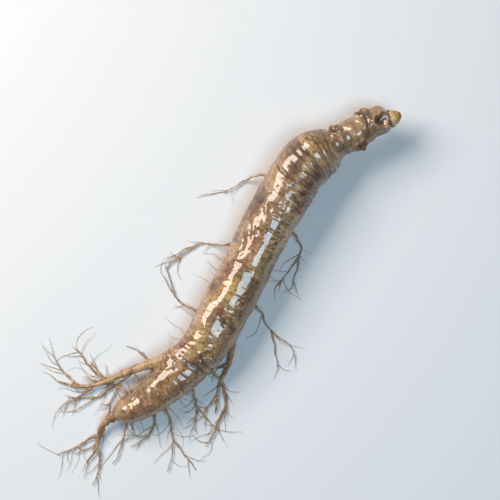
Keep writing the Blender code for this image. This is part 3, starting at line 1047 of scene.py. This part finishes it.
def hair_starts(rng, paths, leg_paths):
    """Where the hairs start and which way they head: most on rootlets, some on the body."""
    starts = []
    stems = [np.array(path) for path, _ in paths] + [path[BARE_LEG_POINTS:] for path in leg_paths]
    for _ in range(round(HAIRS_ON_ROOTLETS * HAIRS)):
        stem = rng.choice(stems)
        k = rng.randrange(BARE_POINTS, len(stem) - 1)
        forward = stem[k + 1] - stem[k]
        start = stem[k] + forward * rng.random()
        starts.append((start, course_of(forward) + rng.choice((-1, 1)) * rng.uniform(*HAIR_SPREAD)))
    while len(starts) < HAIRS:
        ring = HAIRY_START + HAIRY_BODY * rng.random() ** HAIR_CROWDING
        turn = rng.choice((-1, 1)) * rng.uniform(*HAIR_ANGLES)
        _, side, _ = section_axes(ring)
        away = side * math.copysign(1, turn)
        course = course_of(away) + rng.uniform(-BODY_HAIR_SPREAD, BODY_HAIR_SPREAD)
        starts.append((form_point(ring, turn) - HAIR_SUNK * away, course))
    return starts


def build_hairs(paths, leg_paths):
    """Hair-thin rootlets."""
    rng = random.Random(HAIR_SEED)
    tubes = []
    for start, course in hair_starts(rng, paths, leg_paths):
        radius = rng.uniform(*HAIR_RADIUS)
        length = rng.uniform(*HAIR_LENGTH) * rng.uniform(*HAIR_KEPT)
        rest = radius + rng.uniform(*HAIR_LIFT)
        bend = rng.uniform(*HAIR_FIRST_BEND)
        path = crawling_path(rng, start, course, course, bend, length, rest, HAIR_CRAWL)
        path = smooth_path(path, HAIR_FINE_SPAN)
        distances = arc_lengths(path)
        radii = radius * (1 - HAIR_TAPER * (distances / distances[-1]) ** HAIR_TAPER_POWER)
        radii = knobbly(rng, distances, radii, ROOTLET_SWELL, HAIR_KNOBS)
        tubes.append(make_tube(path, distances, radii, HAIR_SIDES, rng.uniform(*HAIR_TONES)))
    return merge_tubes("root_hairs", tubes)


def above(difference):
    """A step up from 0 to 1 at the edge of a bud scale."""
    return 0.5 + 0.5 * np.tanh(difference / SCALE_EDGE_WIDTH)


def bud_scales(height, angle):
    """How far the bud's scales stand out, the mark of their edges and what each one covers."""
    swell, edges = np.zeros((2, *height.shape))
    highest = np.full_like(height, -FAR_AWAY)
    tears = sum(tear * np.sin(count * angle + count) for tear, count in SHEATH_TEARS)
    covers = []
    for at, lean, side, stands_out in BUD_SCALES:
        away = np.abs(turn_between(angle, side))
        rise = EDGE_ROUNDNESS * np.cos(away) + (1 - EDGE_ROUNDNESS) * (1 - 2 * away / math.pi)
        edge = at + lean * rise + tears
        seen = above(edge - highest)
        covers.append(above(edge - height))
        swell += stands_out * seen * covers[-1]
        mark = bell(height - edge + SCALE_EDGE_WIDTH, EDGE_MARK_WIDTH * SCALE_EDGE_WIDTH)
        edges = np.maximum(edges, seen * mark)
        highest = np.maximum(highest, edge)
        # Only the sheath is torn.
        tears = 0
    return swell, edges, covers


def build_bud():
    """The pointed bud with its overlapping scales and the torn sheath round its foot."""
    tilt = np.linspace(0, math.pi, BUD_ROWS + 2)[1:-1, None]
    angle = angles_round(BUD_SIDES)
    height = -np.cos(tilt) * np.ones_like(angle)
    width = np.sin(tilt) * (1 - BUD_POINTEDNESS * np.maximum(0, height))
    swell, edges, covers = bud_scales(height, angle)
    veins = np.cos(TWISTED_VEINS * angle + VEIN_TWIST * height) + np.cos(STRAIGHT_VEINS * angle)
    radius = BUD_RADIUS * width * (1 + swell + VEIN_HEIGHT * veins)
    points = np.stack((radius * np.cos(angle), radius * np.sin(angle), BUD_LENGTH * height), axis=-1)
    points = with_ends(points, (0, 0, -BUD_LENGTH), (0, 0, BUD_LENGTH))
    marks = {
        "straight": points,
        "edge": with_ends(edges),
        "sheath": with_ends(covers[0], 1),
        "tip": with_ends(height, -1, 1),
    }
    turn = np.array(Euler((0, BUD_TILT, BUD_TURN)).to_matrix())
    return add_mesh("bud", points @ turn.T + BUD_CENTRE, lattice_faces(BUD_ROWS, BUD_SIDES), marks)


class Paint:
    """A material whose colour is laid on in layers. An input is a value, another node's output
    or the name of a mark that the mesh carries."""

    def __init__(self, name, colour):
        self.material = bpy.data.materials.new(name)
        self.material.use_nodes = True
        self.tree = self.material.node_tree
        self.surface = self.tree.nodes["Principled BSDF"]
        self.colour = colour

    def feed(self, node, inputs):
        """Gives a node its inputs."""
        for socket, value in inputs.items():
            if isinstance(value, str):
                value = self.put("Attribute", "Fac", {}, attribute_name=value)
            if isinstance(value, bpy.types.NodeSocket):
                self.tree.links.new(value, node.inputs[socket])
            else:
                node.inputs[socket].default_value = value

    def put(self, kind, output, inputs, **settings):
        """An output of a new node."""
        node = self.tree.nodes.new("ShaderNode" + kind)
        for name, value in settings.items():
            setattr(node, name, value)
        self.feed(node, inputs)
        return node.outputs[output]

    def times(self, first, second):
        """The product of two values."""
        return self.put("Math", 0, {0: first, 1: second}, operation="MULTIPLY")

    def plus(self, first, second, share=1):
        """A value and a share of another added up."""
        return self.put("Math", 0, {0: first, 1: self.times(second, share)}, operation="ADD")

    def noise(self, scale, detail, roughness, distortion=0, stretch=None):
        """A noise value from 0 to 1 on the straightened root, its scale in cells per mm."""
        place = self.put("Attribute", "Vector", {}, attribute_name="straight")
        if stretch:
            place = self.put("Mapping", "Vector", {"Vector": place, "Scale": stretch})
        inputs = {"Vector": place, "Scale": scale, "Detail": detail, "Roughness": roughness}
        return self.put("TexNoise", "Fac", inputs | {"Distortion": distortion})

    def ramp(self, value, low, high, start=0, end=1):
        """The value's rise from low to high, as a smooth step from start to end."""
        inputs = {"Value": value, "From Min": low, "From Max": high, "To Min": start, "To Max": end}
        return self.put("MapRange", "Result", inputs, interpolation_type="SMOOTHSTEP")

    def mix(self, first, second, share):
        """Two colours mixed by the share of the second."""
        return self.put("Mix", 2, {0: share, 6: first, 7: second}, data_type="RGBA")

    def lay(self, colour, share):
        """Lays a colour over those so far by its share."""
        self.colour = self.mix(self.colour, colour, share)

    def cover(self, colour, value, low, high, most=1):
        """Lays a colour where a value rises from low to high, up to its greatest share."""
        self.lay(colour, self.ramp(value, low, high, 0, most))

    def patch(self, colour, mark, pattern):
        """Lays a colour on the patches of a mark, which a pattern breaks up."""
        self.cover(colour, self.times(mark, self.ramp(pattern, 0.35, 0.6, 0.5, 1.4)), 0.15, 0.9, 0.8)

    def finish(self, roughness, coat, bump):
        """The material with its roughness, a clear moist coat (weight, roughness, index of
        refraction) and fine relief under it (pattern, strength, depth in metres)."""
        normal = self.put("Bump", "Normal", dict(zip(("Height", "Strength", "Distance"), bump)))
        self.feed(self.surface, {"Base Color": self.colour, "Roughness": roughness, "Normal": normal})
        self.feed(self.surface, dict(zip(("Coat Weight", "Coat Roughness", "Coat IOR"), coat)))
        return self.material


def paint_ground(paint, mottle):
    """The skin's large areas of tan, brown, ochre, olive, umber and rust; one umber patch is painted
    shade.
    """
    broad = paint.noise(0.085, 3, 0.6, 0.6, (0.6, 1, 1))
    paint.cover(TAN, paint.plus(broad, mottle, 0.35), 0.56, 0.76)
    warm = paint.plus(paint.noise(0.06, 2, 0.5, 0.4), "ochre")
    paint.cover(OCHRE, paint.plus(warm, mottle, 0.5), 0.82, 1.12, 0.9)
    paint.cover(OLIVE, paint.noise(0.13, 5, 0.68, 0.8, (1.3, 0.8, 0.8)), 0.50, 0.64, 0.6)
    # Umber patches, one of them painted shade, umber where the side roots join, and rust.
    for colour, mark in ((UMBER, "umber_and_shade"), (UMBER, "seam"), (RUST, "rust")):
        paint.patch(colour, mark, mottle)


def paint_mottle(paint, mottle, lines):
    """Dark and pale blotches, cross lines and specks over the ground colour."""
    busy = paint.ramp(paint.noise(0.075, 2, 0.5), 0.44, 0.56, 0.35, 1)
    paint.cover(DARK_BROWN, paint.noise(0.3, 6, 0.7, 1.2, (1.3, 0.8, 0.8)), 0.52, 0.60, 0.76)
    dark = paint.ramp(paint.plus(mottle, "umber_and_shade", 0.04), 0.50, 0.60, 0, 0.75)
    paint.lay(DARK_BROWN, paint.times(dark, busy))
    paint.cover(PALE, mottle, 0.46, 0.36, 0.5)
    paint.cover(DARK_BROWN, lines, 0.50, 0.64, 0.5)
    speck = paint.ramp(paint.plus(paint.noise(1.5, 2, 0.5), "ochre", 0.09), 0.65, 0.70, 0, 0.85)
    paint.lay(SOIL, paint.times(speck, busy))


def paint_marks(paint, grain):
    """Colours of the neck, lenticels, stubs and scars, a painted highlight on the ridges, and painted
    shade with soil in the grooves and hollows.
    """
    paint.lay(OLIVE, paint.times("neck", 0.35))
    # Painted highlight: the raised relief is paler.
    paint.cover(PALE, "ridge_highlight", 0.1, 0.4, 0.25)
    paint.cover(PALE, "lenticel", 0.15, 0.9, 0.4)
    paint.cover(DARK_BROWN, "stub", 0.2, 0.9, 0.6)
    paint.cover(DARK_BROWN, "outline", 0.2, 0.9, 0.6)
    # Painted shade and soil in the grooves and hollows.
    hollow_shade_and_soil = paint.times("hollow_shade_and_soil", paint.ramp(grain, 0.3, 0.7, 0.7, 1.2))
    paint.cover(DARK_BROWN, hollow_shade_and_soil, 0.06, 0.55, 0.55)
    paint.cover(SOIL, hollow_shade_and_soil, 0.35, 0.9, 0.7)
    paint.cover(RUST, paint.times("rim", paint.ramp(grain, 0.3, 0.7, 0.5, 1.1)), 0.2, 0.9, 0.6)
    paint.cover(SOIL, "cup", 0.1, 0.95, 0.88)


def skin_material():
    """Moist root skin: tan and brown, mottled, darker in its grooves."""
    paint = Paint("root_skin", BROWN)
    mottle = paint.noise(0.8, 6, 0.72, 0.6)
    grain = paint.noise(3, 4, 0.65)
    lines = paint.noise(1.1, 4, 0.7, stretch=(1, 0.14, 0.14))
    paint_ground(paint, mottle)
    paint_mottle(paint, mottle, lines)
    paint_marks(paint, grain)
    relief = paint.plus(paint.plus(grain, lines, 1.4), mottle)
    return paint.finish(paint.ramp(mottle, 0.3, 0.7, 0.42, 0.62), (0.85, 0.07, 1.7), (relief, 0.6, 0.0003))


def rootlet_material():
    """Skin of the side roots and rootlets: paler where they are finer."""
    paint = Paint("rootlet_skin", BROWN)
    blotch = paint.noise(0.7, 4, 0.65, 1)
    lines = paint.noise(2, 3, 0.7, stretch=(1, 0.25, 0.25))
    paint.cover(TAN, paint.noise(0.16, 3, 0.6, 0.5), 0.35, 0.65)
    paint.cover(TAN, "tone", 0.2, 1, 0.4)
    paint.patch(UMBER, "seam", blotch)
    paint.cover(DARK_BROWN, blotch, 0.50, 0.68, 0.75)
    paint.cover(PALE, blotch, 0.44, 0.32, 0.4)
    paint.cover(SOIL, lines, 0.52, 0.70, 0.5)
    # Painted shade and soil in the hollows of the rings and ripples.
    paint.cover(SOIL, "hollow_shade_and_soil", 0.05, 0.35, 0.7)
    return paint.finish(0.5, (0.4, 0.16, 1.6), (lines, 0.5, 0.00015))


def bud_material():
    """Golden brown bud scales with dark edges and a papery sheath."""
    paint = Paint("bud_scales", BUD_CREAM)
    streaks = paint.noise(2.2, 4, 0.65, stretch=(1, 1, 0.16))
    paint.cover(BUD_GOLD, "tip", 0, 0.9)
    paint.cover(RUST, streaks, 0.42, 0.66, 0.6)
    paint.cover(BUD_BROWN, "tip", 0.75, 1, 0.7)
    paint.cover(BUD_BROWN, "edge", 0.2, 0.95, 0.6)
    paint.lay(paint.mix(DARK_BROWN, BROWN, paint.ramp(streaks, 0.38, 0.62)), "sheath")
    return paint.finish(0.45, (0.4, 0.2, 1.5), (streaks, 0.5, 0.0002))


def floor_material():
    """A plain pale floor without gloss."""
    paint = Paint("pale_floor", FLOOR_COLOUR)
    paint.feed(paint.surface, {"Base Color": paint.colour, "Roughness": 1, "Specular IOR Level": 0})
    return paint.material


def place_thing(name, data, place, right, back):
    """A camera or light at a place, by the directions of its right side and of its back."""
    made = bpy.data.objects.new(name, data)
    basis = Matrix((right, back.cross(right), back)).transposed()
    made.matrix_world = Matrix.Translation(place) @ basis.to_4x4()
    bpy.context.scene.collection.objects.link(made)
    return made


def add_camera():
    """The camera over the root."""
    camera = bpy.data.cameras.new("camera")
    camera.angle = 2 * math.atan(PICTURE_WIDTH / 2 / CAMERA_HEIGHT)
    up = Vector(UP)
    place = PICTURE_MIDDLE + up * CAMERA_HEIGHT
    bpy.context.scene.camera = place_thing("camera", camera, place, RIGHT, up)


def add_softbox(name, place, size, power, colour):
    """A soft light placed by the picture's directions, aimed at the root, long along it."""
    light = bpy.data.lights.new(name, "AREA")
    light.shape = "RECTANGLE"
    light.size, light.size_y = size
    light.energy = power
    light.color = colour
    right, top, height = place
    place = RIGHT * right + TOP * top + Vector(UP) * height
    back = place.normalized()
    along = Vector((1, 0, 0))
    place_thing(name, light, place, (along - back * along.dot(back)).normalized(), back)


def add_studio():
    """A plain pale floor and soft studio light, warmer from the picture's left."""
    bpy.ops.mesh.primitive_plane_add(size=FLOOR_SIZE, location=(0, 0, -FLOOR_DROP))
    floor = bpy.context.object
    floor.name = "floor"
    floor.data.materials.append(floor_material())
    add_softbox("warm_left", *WARM_LIGHT)
    add_softbox("cool_right", *COOL_LIGHT)
    world = bpy.data.worlds.new("studio")
    world.use_nodes = True
    background = world.node_tree.nodes["Background"]
    background.inputs["Color"].default_value = ROOM_COLOUR
    background.inputs["Strength"].default_value = ROOM_STRENGTH
    bpy.context.scene.world = world
    bpy.context.scene.view_settings.view_transform = "Standard"


def main():
    """The root's pieces in their skins, and the studio."""
    leg_paths = [smooth_path(points, LEG_POINTS_PER_SPAN) for points, _, _ in LEGS]
    leg_forms = plain_legs(leg_paths)
    paths = rootlet_paths(leg_paths)
    build_skin(leg_forms).data.materials.append(skin_material())
    fine_skin = rootlet_material()
    for piece in (build_side_roots(leg_forms), build_rootlets(paths), build_hairs(paths, leg_paths)):
        piece.data.materials.append(fine_skin)
    build_bud().data.materials.append(bud_material())
    add_studio()
    add_camera()


main()
